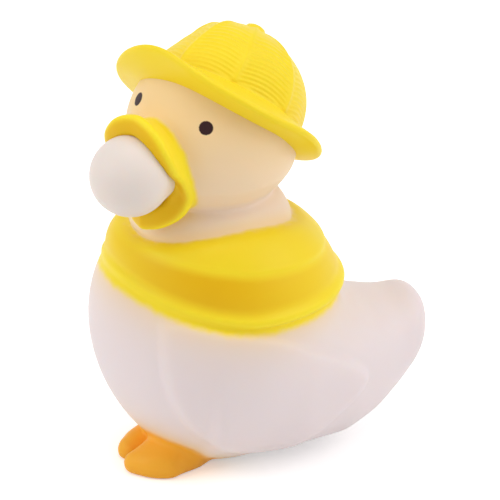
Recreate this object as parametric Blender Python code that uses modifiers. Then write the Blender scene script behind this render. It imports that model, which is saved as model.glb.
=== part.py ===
"""A squeeze duck in soft rubber, with a blown-up bladder standing in its open beak.

The duck is one moulding: torso, tail, wings, feet, neck, head, beak, cape and hat share one skin. The bladder seals
its mouth, so nothing inside can be seen, and each of the two is a closed solid here. The bladder's neck sits in a
recess of the mouth.

Axes: the chest faces -Y, the tail points to +Y, the duck's left side is +X, and it sits on z = 0.
"""
import bmesh
import bpy
import math
from mathutils import Matrix, Vector

MM = 0.001

# Torso: a stretched ball cut flat where it sits, with a blunt tail drawn out behind it
BODY_RADIUS = 27.5 * MM
BODY_HALF_HEIGHT = 34.0 * MM     # from the widest ring down to the underside
BODY_SHOULDER_HEIGHT = 28.0 * MM   # from the widest ring up to where the shoulders would close
BODY_FLAT_CUT = 1.0 * MM
UNDER_NARROWING = 0.10           # the lower half is this much narrower at the underside
TAIL_LENGTH = 48.5 * MM
TAIL_ROOT_WIDTH = 25.0 * MM
TAIL_TOP = 32.6 * MM
WING_RELIEF = 1.1 * MM

# Neck and head
NECK_RADIUS = 18.1 * MM
NECK_TOP_RADIUS = 14.2 * MM
NECK_RIM = 3.0 * MM
NECK_HALF_HEIGHT = 4.4 * MM
NECK_SINK = 2.4 * MM
HEAD_RADIUS = 18.2 * MM
HEAD_SINK = 4.9 * MM
HEAD_SHIFT = -1.2 * MM
HEAD_BACK = 1.08                 # the head is this much longer behind than in front
JOWL_FULLNESS = 0.07             # and this much wider below
HEAD_TURN = math.radians(25)

# Hat
HAT_TILT = math.radians(44)
HAT_LEAN = math.radians(7)
HAT_RADIUS = 17.7 * MM
HAT_DOME_HEIGHT = 17.0 * MM
DOME_FULLNESS = 2.15             # exponent of the dome's curve: 2 is round, more is squarer
PANEL_FLATTENING = 0.5 * MM      # the panels between the seams lie this much lower
BRIM_SEAT = 4.2 * MM             # the brim's edge above the head's centre, along the hat's axis
BRIM_RADIUS = 24.2 * MM
BRIM_ROOT_RADIUS = 15.1 * MM     # where the brim's underside meets the head
BRIM_EDGE = 0.8 * MM
BRIM_TOP_SLOPE = 3.4 * MM
BRIM_UNDER_SLOPE = 2.0 * MM
BRIM_FRONT_LIFT = 4.4 * MM
BRIM_REAR_LIFT = 1.6 * MM
BUTTON_RADIUS = 2.4 * MM
BUTTON_HEIGHT = 1.4 * MM
SEAM_COUNT = 8
SEAM_HEIGHT = 0.45 * MM

# Cape
CAPE_HEM_RADIUS = 26.9 * MM
CAPE_HEM_HEIGHT = 41.3 * MM
CAPE_FRONT_RISE = 5.6 * MM
CAPE_FRONT_TUCK = 2.0 * MM
CAPE_NECKLINE_RADIUS = 16.8 * MM
CAPE_FULLNESS = 1.34             # exponent of the cape's slope: 1 is straight, more swells out
CAPE_SHIFT = 1.6 * MM
CAPE_TILT = math.radians(8.6)    # the neckline is lower at the back
CAPE_ROLL = 1.25 * MM
COLLAR_STEP = 0.6 * MM

# Feet: two webbed feet side by side that splay out; the right one is narrower
FOOT_CENTRE_X = 6.0 * MM
FOOT_CENTRE_Y = -13.5 * MM
TOE_HEIGHT = 4.2 * MM
ANKLE_HEIGHT = 7.6 * MM
ANKLE_Y = -9.0 * MM
TOE_Y = -21.0 * MM
RIGHT_FOOT_WIDTH = 0.68
RIGHT_FOOT_SETBACK = 1.0 * MM

# Beak: a thick lip runs round the open mouth
LIP_RADIUS = 2.2 * MM
LIP_REACH = 22.9 * MM
LIP_TOP = 8.5 * MM
LIP_BOTTOM = 14.3 * MM
LIP_HALF_WIDTH = 8.8 * MM
BILL_DEPTH = 12.0 * MM
BILL_FRONT_SIZE = 1.10          # against the lip's centre line
BILL_ROOT_SIZE = 0.86

# The bladder that stands in the mouth, and the recess that it sits in
MOUTH_DROP = 2.7 * MM
BUBBLE_RADIUS = 8.9 * MM
BUBBLE_REACH = 24.8 * MM
BUBBLE_NECK_WIDTH = 6.6 * MM
BUBBLE_NECK_HEIGHT = 4.6 * MM
BUBBLE_NECK_END = 9.0 * MM       # the neck's end, in front of the head's centre
CLEARANCE = 0.3 * MM

# Heights and frames that follow from these
BODY_CENTRE = Vector((0, 0, BODY_HALF_HEIGHT - BODY_FLAT_CUT))
NECK_HEIGHT = BODY_CENTRE.z + BODY_SHOULDER_HEIGHT - NECK_SINK
NECKLINE_HEIGHT = NECK_HEIGHT - NECK_HALF_HEIGHT * 0.85
HEAD_CENTRE = Vector((0, HEAD_SHIFT, NECK_HEIGHT + NECK_HALF_HEIGHT + HEAD_RADIUS - HEAD_SINK))
HEAD_FRAME = Matrix.Translation(HEAD_CENTRE) @ Matrix.Rotation(HEAD_TURN, 4, "Z")
HAT_FRAME = HEAD_FRAME @ Matrix.Rotation(-HAT_LEAN, 4, "Y") @ Matrix.Rotation(-HAT_TILT, 4, "X")

SKIN_COLOUR = (0.86, 0.80, 0.79, 1.0)
BUBBLE_COLOUR = (0.90, 0.87, 0.85, 1.0)


def empty_the_scene():
    """Remove whatever the file holds, so that the script can be run again."""
    for ob in list(bpy.data.objects):
        bpy.data.objects.remove(ob, do_unlink=True)


def new_collection(name):
    group = bpy.data.collections.new(name)
    bpy.context.scene.collection.children.link(group)
    return group


def rubber(name, colour, roughness):
    """A plain rubber: colour and roughness only."""
    material = bpy.data.materials.new(name)
    material.use_nodes = True
    shader = material.node_tree.nodes["Principled BSDF"]
    shader.inputs["Base Color"].default_value = colour
    shader.inputs["Roughness"].default_value = roughness
    shader.inputs["Metallic"].default_value = 0.0
    return material


def add_object(name, bm, group):
    """Turn a bmesh into an object in a collection, with its faces pointing out."""
    bmesh.ops.recalc_face_normals(bm, faces=bm.faces)
    if bm.calc_volume(signed=True) < 0:
        bmesh.ops.reverse_faces(bm, faces=bm.faces)
    mesh = bpy.data.meshes.new(name)
    bm.to_mesh(mesh)
    bm.free()
    mesh.shade_smooth()
    ob = bpy.data.objects.new(name, mesh)
    group.objects.link(ob)
    return ob


def ball(name, group, segments, rings, place):
    """A UV sphere of radius 1 whose points are moved to place(point)."""
    bm = bmesh.new()
    bmesh.ops.create_uvsphere(bm, u_segments=segments, v_segments=rings, radius=1)
    for vert in bm.verts:
        vert.co = place(vert.co.copy())
    return add_object(name, bm, group)


def turned(name, group, profile, steps, place):
    """A profile of (radius, height) pairs, top to bottom, turned by a Screw modifier, then moved point by point."""
    mesh = bpy.data.meshes.new(name)
    points = [(radius, 0, height) for radius, height in profile]
    edges = [(i, i + 1) for i in range(len(points) - 1)]
    mesh.from_pydata(points, edges, [])
    line = bpy.data.objects.new(name + "_line", mesh)
    group.objects.link(line)
    screw = line.modifiers.new("turn", "SCREW")
    screw.steps = steps
    screw.render_steps = steps
    screw.use_merge_vertices = True
    screw.merge_threshold = 0.00001
    evaluated = line.evaluated_get(bpy.context.evaluated_depsgraph_get())
    bm = bmesh.new()
    bm.from_mesh(evaluated.to_mesh())
    evaluated.to_mesh_clear()
    bpy.data.objects.remove(line, do_unlink=True)
    bmesh.ops.remove_doubles(bm, verts=bm.verts, dist=0.00001)
    for vert in bm.verts:
        vert.co = place(vert.co.copy())
    return add_object(name, bm, group)


def as_tool(ob):
    """Mark a shape that only cuts or joins another."""
    ob.hide_render = True
    ob.display_type = "WIRE"
    return ob


def join_or_cut(target, tool, operation):
    """Boolean with an exact solver: UNION, DIFFERENCE or INTERSECT."""
    step = target.modifiers.new(tool.name, "BOOLEAN")
    step.operation = operation
    step.solver = "EXACT"
    step.object = as_tool(tool)


def between(stations, at):
    """Value at a place, read on straight runs between hand-set stations of (place, value)."""
    if at <= stations[0][0]:
        return stations[0][1]
    for (low, first), (high, second) in zip(stations, stations[1:]):
        if at <= high:
            return first + (second - first) * (at - low) / (high - low)
    return stations[-1][1]


def torso_place(grow):
    """The torso's stretched ball, grown all over, flat at z = 0."""
    def place(point):
        half_height = BODY_SHOULDER_HEIGHT if point.z > 0 else BODY_HALF_HEIGHT
        radius = BODY_RADIUS * (1 - UNDER_NARROWING * min(0.0, point.z) ** 2) + grow
        moved = BODY_CENTRE + Vector((point.x * radius, point.y * radius, point.z * (half_height + grow)))
        moved.z = max(moved.z, 0)
        return moved
    return place


# Tail sections, as (share of the tail's length, share of its root width or of its top height)
TAIL_WIDTHS = [(-0.16, 1.0), (0.24, 0.99), (0.50, 0.84), (0.67, 0.67), (0.85, 0.44), (1.0, 0.30)]
TAIL_TOPS = [(-0.16, 1.47), (0.25, 1.30), (0.51, 1.08), (0.68, 0.955), (0.82, 0.92), (1.0, 0.97)]
TAIL_UNDERSIDES = [(-0.16, 0.06), (0.24, 0.03), (0.50, 0.06), (0.67, 0.17), (0.82, 0.32), (0.92, 0.46), (1.0, 0.62)]
TAIL_ROOT = -0.16
TAIL_ROUNDING = 0.88
TAIL_SQUARENESS = 0.85           # exponent of the section: 1 is an oval, less is squarer


def tail_place(grow):
    """The tail: a ball drawn out along +Y, whose sections narrow and lift towards a blunt tip."""
    root = TAIL_ROOT * TAIL_LENGTH
    tip = TAIL_LENGTH + grow
    rounding = TAIL_ROUNDING * TAIL_LENGTH

    def place(point):
        along = root + (tip - root) * (point.z + 1) / 2
        share = along / TAIL_LENGTH
        past = max(0.0, (along - rounding) / (tip - rounding), along / root)
        round_off = math.sqrt(max(0.0, 1 - min(1.0, past) ** 2))
        across = TAIL_ROOT_WIDTH * between(TAIL_WIDTHS, share)
        top = TAIL_TOP * between(TAIL_TOPS, share)
        underside = TAIL_TOP * between(TAIL_UNDERSIDES, share)
        turn = math.atan2(point.y, point.x)
        sideways = math.copysign(abs(math.cos(turn)) ** TAIL_SQUARENESS, math.cos(turn))
        upwards = math.copysign(abs(math.sin(turn)) ** TAIL_SQUARENESS, math.sin(turn))
        return Vector(((across + grow) * round_off * sideways,
                       along,
                       (top + underside) / 2 + ((top - underside) / 2 + grow) * round_off * upwards))
    return place


def neck_profile():
    """The neck's thick roll, narrower at its top."""
    points = [(0, NECK_HALF_HEIGHT), (NECK_TOP_RADIUS, NECK_HALF_HEIGHT)]
    points += arc(NECK_RADIUS - NECK_RIM, NECK_RIM - NECK_HALF_HEIGHT, NECK_RIM, 30, -90, 7)
    points.append((0, -NECK_HALF_HEIGHT))
    return points


def neck_place(point):
    return point + Vector((0, HEAD_SHIFT, NECK_HEIGHT))


def head_place(point):
    """The head: a ball, a little longer towards the back and wider at the jowls."""
    longer = HEAD_BACK if point.y > 0 else 1.0
    jowl = 1 + JOWL_FULLNESS * max(0.0, min(1.0, -point.z * 2))
    return HEAD_FRAME @ Vector((point.x * HEAD_RADIUS * jowl,
                                point.y * HEAD_RADIUS * jowl * longer,
                                point.z * HEAD_RADIUS))


def arc(centre_r, centre_h, radius, start, end, count):
    """Points (radius, height) on an arc; angles in degrees from the outward direction."""
    points = []
    for i in range(count):
        angle = math.radians(start + (end - start) * i / (count - 1))
        points.append((centre_r + radius * math.cos(angle), centre_h + radius * math.sin(angle)))
    return points


def hat_profile():
    """Button, dome and brim, from the top centre down the outside and back under the brim to the axis."""
    base = BRIM_SEAT + BRIM_TOP_SLOPE
    top = base + HAT_DOME_HEIGHT
    points = [(0, top + BUTTON_HEIGHT), (BUTTON_RADIUS * 0.75, top + BUTTON_HEIGHT),
              (BUTTON_RADIUS, top + BUTTON_HEIGHT * 0.6), (BUTTON_RADIUS, top - 0.4 * MM)]
    for share in (0.30, 0.45, 0.60, 0.74, 0.86, 0.95, 1.0):
        points.append((HAT_RADIUS * share, base + HAT_DOME_HEIGHT * (1 - share ** DOME_FULLNESS) ** (1 / DOME_FULLNESS)))
    points += arc(BRIM_RADIUS - BRIM_EDGE, BRIM_SEAT, BRIM_EDGE, 70, -70, 5)
    points += [(BRIM_ROOT_RADIUS, BRIM_SEAT - BRIM_UNDER_SLOPE), (0, BRIM_SEAT - BRIM_UNDER_SLOPE)]
    return points


def hat_place(point):
    """Raise the panel seams on the dome, turn the brim up in front and behind, then set the hat on the head."""
    radius = math.hypot(point.x, point.y)
    around = math.atan2(point.x, -point.y)
    base = BRIM_SEAT + BRIM_TOP_SLOPE
    if point.z > base - 0.01 * MM and radius > BUTTON_RADIUS * 1.2:
        seam = max(0.0, math.cos(around * SEAM_COUNT)) ** 6
        dip = (1 - math.cos(around * SEAM_COUNT)) / 2
        lift = 1 + (seam * SEAM_HEIGHT - dip * PANEL_FLATTENING) / HAT_RADIUS
        point = Vector((point.x * lift, point.y * lift, point.z))
    out = max(0.0, (radius - HAT_RADIUS) / (BRIM_RADIUS - HAT_RADIUS))
    front = max(0.0, math.cos(around)) ** 4
    rear = max(0.0, -math.cos(around)) ** 2
    point.z += (BRIM_FRONT_LIFT * front + BRIM_REAR_LIFT * rear) * out ** 1.3
    return HAT_FRAME @ point


def cape_place(point):
    """Set a cape profile point: its height is a share between hem and neckline, and the front hem is higher."""
    around = math.atan2(point.x, -point.y)
    front = max(0.0, math.cos(around)) ** 1.5
    hem = CAPE_HEM_HEIGHT + CAPE_FRONT_RISE * front
    neckline = NECKLINE_HEIGHT - point.y * math.tan(CAPE_TILT)
    share = point.z
    low = 1 - max(0.0, min(1.0, share))
    tuck = 1 - CAPE_FRONT_TUCK / CAPE_HEM_RADIUS * front * low
    return Vector((point.x * tuck, point.y * tuck + CAPE_SHIFT * low, hem + (neckline - hem) * share))


def cape_profile():
    """(radius, share of height): neckline, the collar's step, the slope, the rolled hem, and back to the axis."""
    neckline = CAPE_NECKLINE_RADIUS
    slope = CAPE_HEM_RADIUS - neckline
    height = NECKLINE_HEIGHT - CAPE_HEM_HEIGHT
    points = [(0, 1.0), (neckline, 1.0)]
    for part in (0.2, 0.38, 0.52, 0.56, 0.72, 0.86, 0.95):
        step = COLLAR_STEP if part < 0.54 else 0
        points.append((neckline + slope * part + step, (1 - part ** CAPE_FULLNESS) ** (1 / CAPE_FULLNESS)))
    roll = CAPE_ROLL / height
    for angle in (60, 20, -20, -60, -110):
        points.append((CAPE_HEM_RADIUS + CAPE_ROLL * (math.cos(math.radians(angle)) - 0.3),
                       roll * math.sin(math.radians(angle))))
    points.append((0, -roll))
    return points


# Outline of the left foot from above: (direction in degrees from straight ahead towards the outside, reach in mm)
FOOT_OUTLINE = [(-180, 8.9), (-140, 8.4), (-105, 7.2), (-58, 7.6), (-29, 9.6), (-12, 9.8), (-1, 9.0), (19, 7.4),
                (40, 6.2), (75, 6.4), (100, 6.2), (152, 6.8), (180, 8.9)]


def foot_place(side):
    """One webbed foot on a flat sole, thick at the ankle and thinner at its three toes."""
    narrow = 1 if side > 0 else RIGHT_FOOT_WIDTH
    setback = 0 if side > 0 else RIGHT_FOOT_SETBACK

    def place(point):
        direction = math.degrees(math.atan2(point.x, -point.y))
        reach = between(FOOT_OUTLINE, direction) * MM * math.hypot(point.x, point.y) ** 0.7
        x = FOOT_CENTRE_X + reach * math.sin(math.radians(direction))
        y = FOOT_CENTRE_Y - reach * math.cos(math.radians(direction))
        slope = max(0.0, min(1.0, (y - TOE_Y) / (ANKLE_Y - TOE_Y)))
        top = TOE_HEIGHT + (ANKLE_HEIGHT - TOE_HEIGHT) * slope
        return Vector((side * x * narrow, y + setback, max(0.0, (point.z + 0.4) / 1.4) * top))
    return place


# Outline of a wing seen from the side: (share of the tail's length from the middle, share of the body's height)
WING_OUTLINE = [(-0.42, 1.20), (-0.41, 0.82), (-0.31, 0.485), (-0.20, 0.32), (-0.02, 0.185), (0.21, 0.165),
                (0.42, 0.41), (0.565, 0.565), (0.58, 0.66), (0.495, 0.78), (0.31, 0.94), (0.08, 1.135),
                (-0.165, 1.225), (-0.37, 1.27)]


def wing(name, group, side, grown):
    """A wing's relief: the grown skin of torso and tail, kept only inside the wing's outline on one side."""
    curve = bpy.data.curves.new(name, "CURVE")
    curve.dimensions = "2D"
    curve.fill_mode = "BOTH"
    curve.extrude = BODY_RADIUS / 2
    curve.resolution_u = 3
    spline = curve.splines.new("BEZIER")
    spline.bezier_points.add(len(WING_OUTLINE) - 1)
    for spot, (along, height) in zip(spline.bezier_points, WING_OUTLINE):
        spot.co = (along * TAIL_LENGTH, height * BODY_CENTRE.z, 0)
        spot.handle_left_type = "AUTO"
        spot.handle_right_type = "AUTO"
    spline.use_cyclic_u = True
    flat = bpy.data.objects.new(name + "_outline", curve)
    group.objects.link(flat)
    turned_sideways = Matrix(((0, 0, 1, side * BODY_RADIUS * 0.8), (1, 0, 0, 0), (0, 1, 0, 0), (0, 0, 0, 1)))
    evaluated = flat.evaluated_get(bpy.context.evaluated_depsgraph_get())
    bm = bmesh.new()
    bm.from_mesh(bpy.data.meshes.new_from_object(evaluated))
    bm.transform(turned_sideways)
    bpy.data.objects.remove(flat, do_unlink=True)
    bmesh.ops.remove_doubles(bm, verts=bm.verts, dist=0.00001)
    ob = add_object(name, bm, group)
    join_or_cut(ob, grown, "INTERSECT")
    return ob


def lip_path():
    """Centre line of the lip round the mouth, in the head's frame (left, back, up), and each point's thickness."""
    half = [(0.0, 1.0, LIP_TOP, 1.0), (0.57, 0.99, LIP_TOP * 0.79, 1.0), (0.89, 0.92, LIP_TOP * 0.36, 0.98),
            (1.0, 0.81, -LIP_TOP * 0.14, 0.94), (0.98, 0.67, -LIP_BOTTOM * 0.31, 0.9),
            (0.89, 0.66, -LIP_BOTTOM * 0.57, 0.9), (0.74, 0.75, -LIP_BOTTOM * 0.8, 0.95),
            (0.40, 0.87, -LIP_BOTTOM * 0.96, 1.0), (0.0, 0.91, -LIP_BOTTOM, 1.0)]
    other = [(-left, forward, up, size) for left, forward, up, size in reversed(half[1:-1])]
    return [(Vector((left * LIP_HALF_WIDTH, -forward * LIP_REACH, up)), size)
            for left, forward, up, size in half + other]


def lip(name, group):
    """The lip: a closed curve with a round section."""
    curve = bpy.data.curves.new(name, "CURVE")
    curve.dimensions = "3D"
    curve.bevel_depth = LIP_RADIUS
    curve.bevel_resolution = 2
    curve.resolution_u = 3
    spline = curve.splines.new("BEZIER")
    path = lip_path()
    spline.bezier_points.add(len(path) - 1)
    for spot, (place, size) in zip(spline.bezier_points, path):
        spot.co = place
        spot.radius = size
        spot.handle_left_type = "AUTO"
        spot.handle_right_type = "AUTO"
    spline.use_cyclic_u = True
    tube = bpy.data.objects.new(name + "_curve", curve)
    group.objects.link(tube)
    evaluated = tube.evaluated_get(bpy.context.evaluated_depsgraph_get())
    bm = bmesh.new()
    bm.from_mesh(bpy.data.meshes.new_from_object(evaluated))
    bm.transform(HEAD_FRAME)
    bpy.data.objects.remove(tube, do_unlink=True)
    bmesh.ops.remove_doubles(bm, verts=bm.verts, dist=0.00001)
    return add_object(name, bm, group)


def bill(name, group):
    """The solid beak behind the lip: a loft from a smaller loop inside the head to the lip's centre line."""
    front = [place for place, size in lip_path()]
    bm = bmesh.new()
    loops = []
    for share in (0.0, 0.5, 1.0):
        size = BILL_ROOT_SIZE + (BILL_FRONT_SIZE - BILL_ROOT_SIZE) * share
        loops.append([bm.verts.new((spot.x * size, spot.y + BILL_DEPTH * (1 - share),
                                    (spot.z + MOUTH_DROP) * size - MOUTH_DROP)) for spot in front])
    count = len(front)
    for first, second in zip(loops, loops[1:]):
        for i in range(count):
            bm.faces.new((first[i], first[(i + 1) % count], second[(i + 1) % count], second[i]))
    for loop in (loops[0], loops[-1]):
        middle = bm.verts.new(sum((vert.co for vert in loop), Vector()) / count)
        for i in range(count):
            bm.faces.new((loop[i], loop[(i + 1) % count], middle))
    bm.transform(HEAD_FRAME)
    return add_object(name, bm, group)


def bubble_seat_place(point):
    """The hollow that the bladder leaves free between the lips."""
    radius = BUBBLE_RADIUS + CLEARANCE
    return HEAD_FRAME @ Vector((point.x * radius, -BUBBLE_REACH + point.y * radius, point.z * radius - MOUTH_DROP))


def oval_channel(name, group, half_width, half_height, back, front, drop):
    """An oval prism that runs forward through the mouth, in the head's frame."""
    bm = bmesh.new()
    bmesh.ops.create_cone(bm, cap_ends=True, segments=28, radius1=1, radius2=1, depth=1)
    for vert in bm.verts:
        forward = back + (front - back) * (vert.co.z + 0.5)
        vert.co = HEAD_FRAME @ Vector((vert.co.x * half_width, -forward, vert.co.y * half_height - drop))
    return add_object(name, bm, group)


def build_duck(parts, tools):
    """The duck's one moulding: its forms joined, with a recess in the mouth for the bladder."""
    duck = ball("duck_body", parts, 40, 28, torso_place(0))
    grown = ball("wing_skin", tools, 40, 28, torso_place(WING_RELIEF))
    join_or_cut(grown, ball("wing_skin_tail", tools, 32, 22, tail_place(WING_RELIEF)), "UNION")
    added = [ball("tail", tools, 32, 22, tail_place(0)),
             wing("wing_left", tools, 1, grown),
             wing("wing_right", tools, -1, grown),
             ball("foot_left", tools, 32, 12, foot_place(1)),
             ball("foot_right", tools, 32, 12, foot_place(-1)),
             turned("cape", tools, cape_profile(), 48, cape_place),
             turned("neck", tools, neck_profile(), 48, neck_place),
             ball("head", tools, 40, 26, head_place),
             turned("hat", tools, hat_profile(), 56, hat_place),
             bill("bill", tools),
             lip("lip", tools)]
    for form in added:
        join_or_cut(duck, form, "UNION")
    removed = [ball("bubble_seat", tools, 36, 24, bubble_seat_place),
               oval_channel("mouth", tools, BUBBLE_NECK_WIDTH + CLEARANCE, BUBBLE_NECK_HEIGHT + CLEARANCE,
                            BUBBLE_NECK_END - CLEARANCE, BUBBLE_REACH, MOUTH_DROP)]
    for form in removed:
        join_or_cut(duck, form, "DIFFERENCE")
    return duck


def build_bubble(parts):
    """The bladder, blown up: a ball that narrows to an oval neck."""
    ball_start = BUBBLE_REACH - math.sqrt(BUBBLE_RADIUS ** 2 - BUBBLE_NECK_WIDTH ** 2)
    profile = [(0, BUBBLE_NECK_END), (BUBBLE_NECK_WIDTH, BUBBLE_NECK_END),
               (BUBBLE_NECK_WIDTH, (BUBBLE_NECK_END + ball_start) / 2)]
    start = math.asin(BUBBLE_NECK_WIDTH / BUBBLE_RADIUS)
    for i in range(16):
        angle = start + (math.pi - start) * i / 15
        profile.append((BUBBLE_RADIUS * math.sin(angle), BUBBLE_REACH - BUBBLE_RADIUS * math.cos(angle)))
    profile[-1] = (0, profile[-1][1])
    squash = BUBBLE_NECK_HEIGHT / BUBBLE_NECK_WIDTH

    def place(point):
        opened = max(0.0, min(1.0, (point.z - ball_start) / (BUBBLE_REACH - ball_start)))
        flat = squash + (1 - squash) * opened
        return HEAD_FRAME @ Vector((point.x, -point.z, point.y * flat - MOUTH_DROP))
    return turned("bubble", parts, profile, 36, place)


def main():
    empty_the_scene()
    parts = new_collection("duck_stress_ball")
    tools = new_collection("forms")
    duck = build_duck(parts, tools)
    duck.data.materials.append(rubber("soft_rubber", SKIN_COLOUR, 0.5))
    bubble = build_bubble(parts)
    bubble.data.materials.append(rubber("bladder_rubber", BUBBLE_COLOUR, 0.4))


main()
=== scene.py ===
# %% [markdown]
# # A squeeze duck in soft rubber
# The real toy is two mouldings. The duck is one hollow skin of soft white rubber, with its hat, cape and
# beak sprayed yellow and its feet sprayed orange. A thin white bladder stands blown up in its beak. The
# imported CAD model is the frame. This script dresses it: finer shapes, then paint, then light and a camera.

# %% Load the frame
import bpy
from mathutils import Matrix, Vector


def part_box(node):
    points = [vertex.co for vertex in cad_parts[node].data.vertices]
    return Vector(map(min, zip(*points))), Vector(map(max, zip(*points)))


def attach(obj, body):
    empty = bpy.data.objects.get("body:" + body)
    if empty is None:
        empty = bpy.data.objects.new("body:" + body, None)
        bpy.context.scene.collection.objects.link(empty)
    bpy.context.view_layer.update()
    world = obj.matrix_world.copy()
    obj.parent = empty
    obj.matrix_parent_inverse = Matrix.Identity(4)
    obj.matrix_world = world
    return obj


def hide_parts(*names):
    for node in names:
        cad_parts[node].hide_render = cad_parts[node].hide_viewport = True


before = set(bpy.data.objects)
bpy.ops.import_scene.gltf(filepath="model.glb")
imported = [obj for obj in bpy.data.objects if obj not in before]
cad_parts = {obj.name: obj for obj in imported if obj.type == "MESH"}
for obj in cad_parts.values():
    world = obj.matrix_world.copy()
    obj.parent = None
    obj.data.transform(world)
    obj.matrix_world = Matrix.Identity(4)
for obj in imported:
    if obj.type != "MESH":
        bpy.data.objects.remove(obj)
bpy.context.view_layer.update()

# %% Tools
import bpy
import math
import numpy as np
from mathutils import Matrix, Vector

MM = 0.001

# %% [markdown]
# ## Where things are
# Shapes below are worked in millimetres, in the frame of the CAD: chest towards -Y, tail towards +Y, the
# duck's left towards +X. Lengths that the CAD box gives are read from it, so that the skin stays in step
# with the solids.

# %% Main sizes
duck_low, duck_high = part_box("duck_body")
TAIL_TIP = duck_high[1] / MM - 0.7
BODY_RADIUS = 27.5
BODY_Z = 33.0
UNDER_HEIGHT = 34.0
UNDER_NARROWING = 0.10
SHOULDER_HEIGHT = 28.0
NECK_Z = 58.6
NECK_RADIUS = 18.1
NECK_HALF_HEIGHT = 4.4
HEAD_RADIUS = 18.2
HEAD_BACK = 1.08
JOWL_FULLNESS = 0.07
JOWL_DEPTH = 8
HEAD_CENTRE = (0.0, -1.2, 76.3)
HEAD_TURN = math.radians(25)
HAT_TILT = math.radians(44)
HAT_LEAN = math.radians(7)
HEAD_TOP = 5.2
print("tail tip at", round(TAIL_TIP, 1), "mm")

# %% [markdown]
# ## One skin from distance fields
# A moulded toy has no seams between its forms: each runs into the next with a small round. A distance field
# does this well. Each form is a function that is negative inside and positive outside, in millimetres, and
# a smooth minimum joins two forms with a fillet of a chosen reach.

# %% Fields and their joins
def smooth_min(a, b, reach):
    """Union of two forms with a fillet."""
    share = np.maximum(reach - np.abs(a - b), 0.0) / reach
    return np.minimum(a, b) - share * share * reach / 4


def smooth_max(a, b, reach):
    """What two forms have in common, with a rounded edge."""
    return -smooth_min(-a, -b, reach)


def ellipsoid(x, y, z, rx, ry, rz):
    """Stretched ball about the origin."""
    near = np.sqrt((x / rx) ** 2 + (y / ry) ** 2 + (z / rz) ** 2)
    slope = np.sqrt((x / rx ** 2) ** 2 + (y / ry ** 2) ** 2 + (z / rz ** 2) ** 2)
    return near * (near - 1) / np.maximum(slope, 1e-6)


def capsule(x, y, z, start, end, start_radius, end_radius):
    """Round-ended rod whose thickness changes from one end to the other."""
    ax, ay, az = start
    bx, by, bz = end[0] - ax, end[1] - ay, end[2] - az
    along = ((x - ax) * bx + (y - ay) * by + (z - az) * bz) / (bx * bx + by * by + bz * bz)
    along = np.clip(along, 0, 1)
    gap = np.sqrt((x - ax - along * bx) ** 2 + (y - ay - along * by) ** 2 + (z - az - along * bz) ** 2)
    return gap - start_radius - (end_radius - start_radius) * along


def rounded_disc(radius, height, outer, half, edge):
    """Thick disc with a rounded rim, from the distance to its axis and the height above its middle."""
    across = radius - (outer - edge)
    up = np.abs(height) - (half - edge)
    outside = np.hypot(np.maximum(across, 0), np.maximum(up, 0))
    return outside + np.minimum(np.maximum(across, up), 0) - edge


def curve_through(stations):
    """Soft curve through given stations of (place, value)."""
    places = np.array([place for place, value in stations], dtype=float)
    values = np.array([value for place, value in stations], dtype=float)
    fine = np.linspace(places[0], places[-1], 241)
    line = np.interp(fine, places, values)
    weights = np.hanning(31)
    padded = np.concatenate([2 * line[0] - line[15:0:-1], line, 2 * line[-1] - line[-2:-17:-1]])
    soft = np.convolve(padded, weights / weights.sum(), mode="valid")
    return lambda at: np.interp(at, fine, soft)


# %% [markdown]
# ## Torso and tail
# The body is an upright egg that narrows towards its flat underside. The tail grows from its back, narrows,
# lifts and ends in a blunt tip. Its section at each place along the duck is a rounded oval, set by three
# curves: width, top, underside.

# %% Torso and tail
def torso(x, y, z):
    """Upright egg, flat where it sits."""
    half = np.where(z > BODY_Z, SHOULDER_HEIGHT, UNDER_HEIGHT)
    across = BODY_RADIUS * (1 - UNDER_NARROWING * np.clip((BODY_Z - z) / BODY_Z, 0, 1) ** 2)
    egg = ellipsoid(x, y, z - BODY_Z, across, across, half)
    return smooth_max(egg, -z, 1.0)


TAIL_ROOT = -8.0
TAIL_SQUARENESS = 2.35
tail_width = curve_through([(-8, 25), (12, 24.7), (25, 21), (33, 16.8), (42, 11), (49.1, 7.5)])
tail_top = curve_through([(-8, 48), (12, 42.5), (25, 35.2), (33, 31.7), (40, 30.6), (48.5, 31.8)])
tail_under = curve_through([(-8, 3), (12, 1.8), (25, 2.6), (33, 5.7), (40, 10.4), (45, 15), (49.1, 20.2)])


def tail(x, y, z):
    """Oval sections that narrow and lift towards the blunt tip."""
    wide = tail_width(y)
    top = tail_top(y)
    under = tail_under(y)
    tall = (top - under) / 2
    middle = (top + under) / 2
    oval = np.abs(x / wide) ** TAIL_SQUARENESS + np.abs((z - middle) / tall) ** TAIL_SQUARENESS
    oval = oval ** (1 / TAIL_SQUARENESS)
    side = (oval - 1) * np.minimum(wide, tall)
    side = smooth_max(side, TAIL_ROOT - y, 3.0)
    return smooth_max(side, y - TAIL_TIP, 5.0)


# %% [markdown]
# ## Wings
# Each wing is a low relief, about a millimetre proud, with a soft edge. Its outline is drawn in the side
# view and kept as a map of distances, which the body's field reads to know how far inside the wing a point
# lies.

# %% Wing outline
WING_RELIEF = 1.1
WING_CLEAR_OF_MIDDLE = 6.0
WING_OUTLINE = [(-20.5, 39.6), (-19.8, 27.0), (-14.9, 16.0), (-9.6, 10.6), (-1.0, 6.1), (10.0, 5.4),
                (20.5, 13.6), (27.4, 18.6), (28.1, 21.8), (24.0, 25.8), (15.0, 31.0), (4.0, 37.5),
                (-8.0, 40.5), (-18.0, 42.0)]


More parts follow.
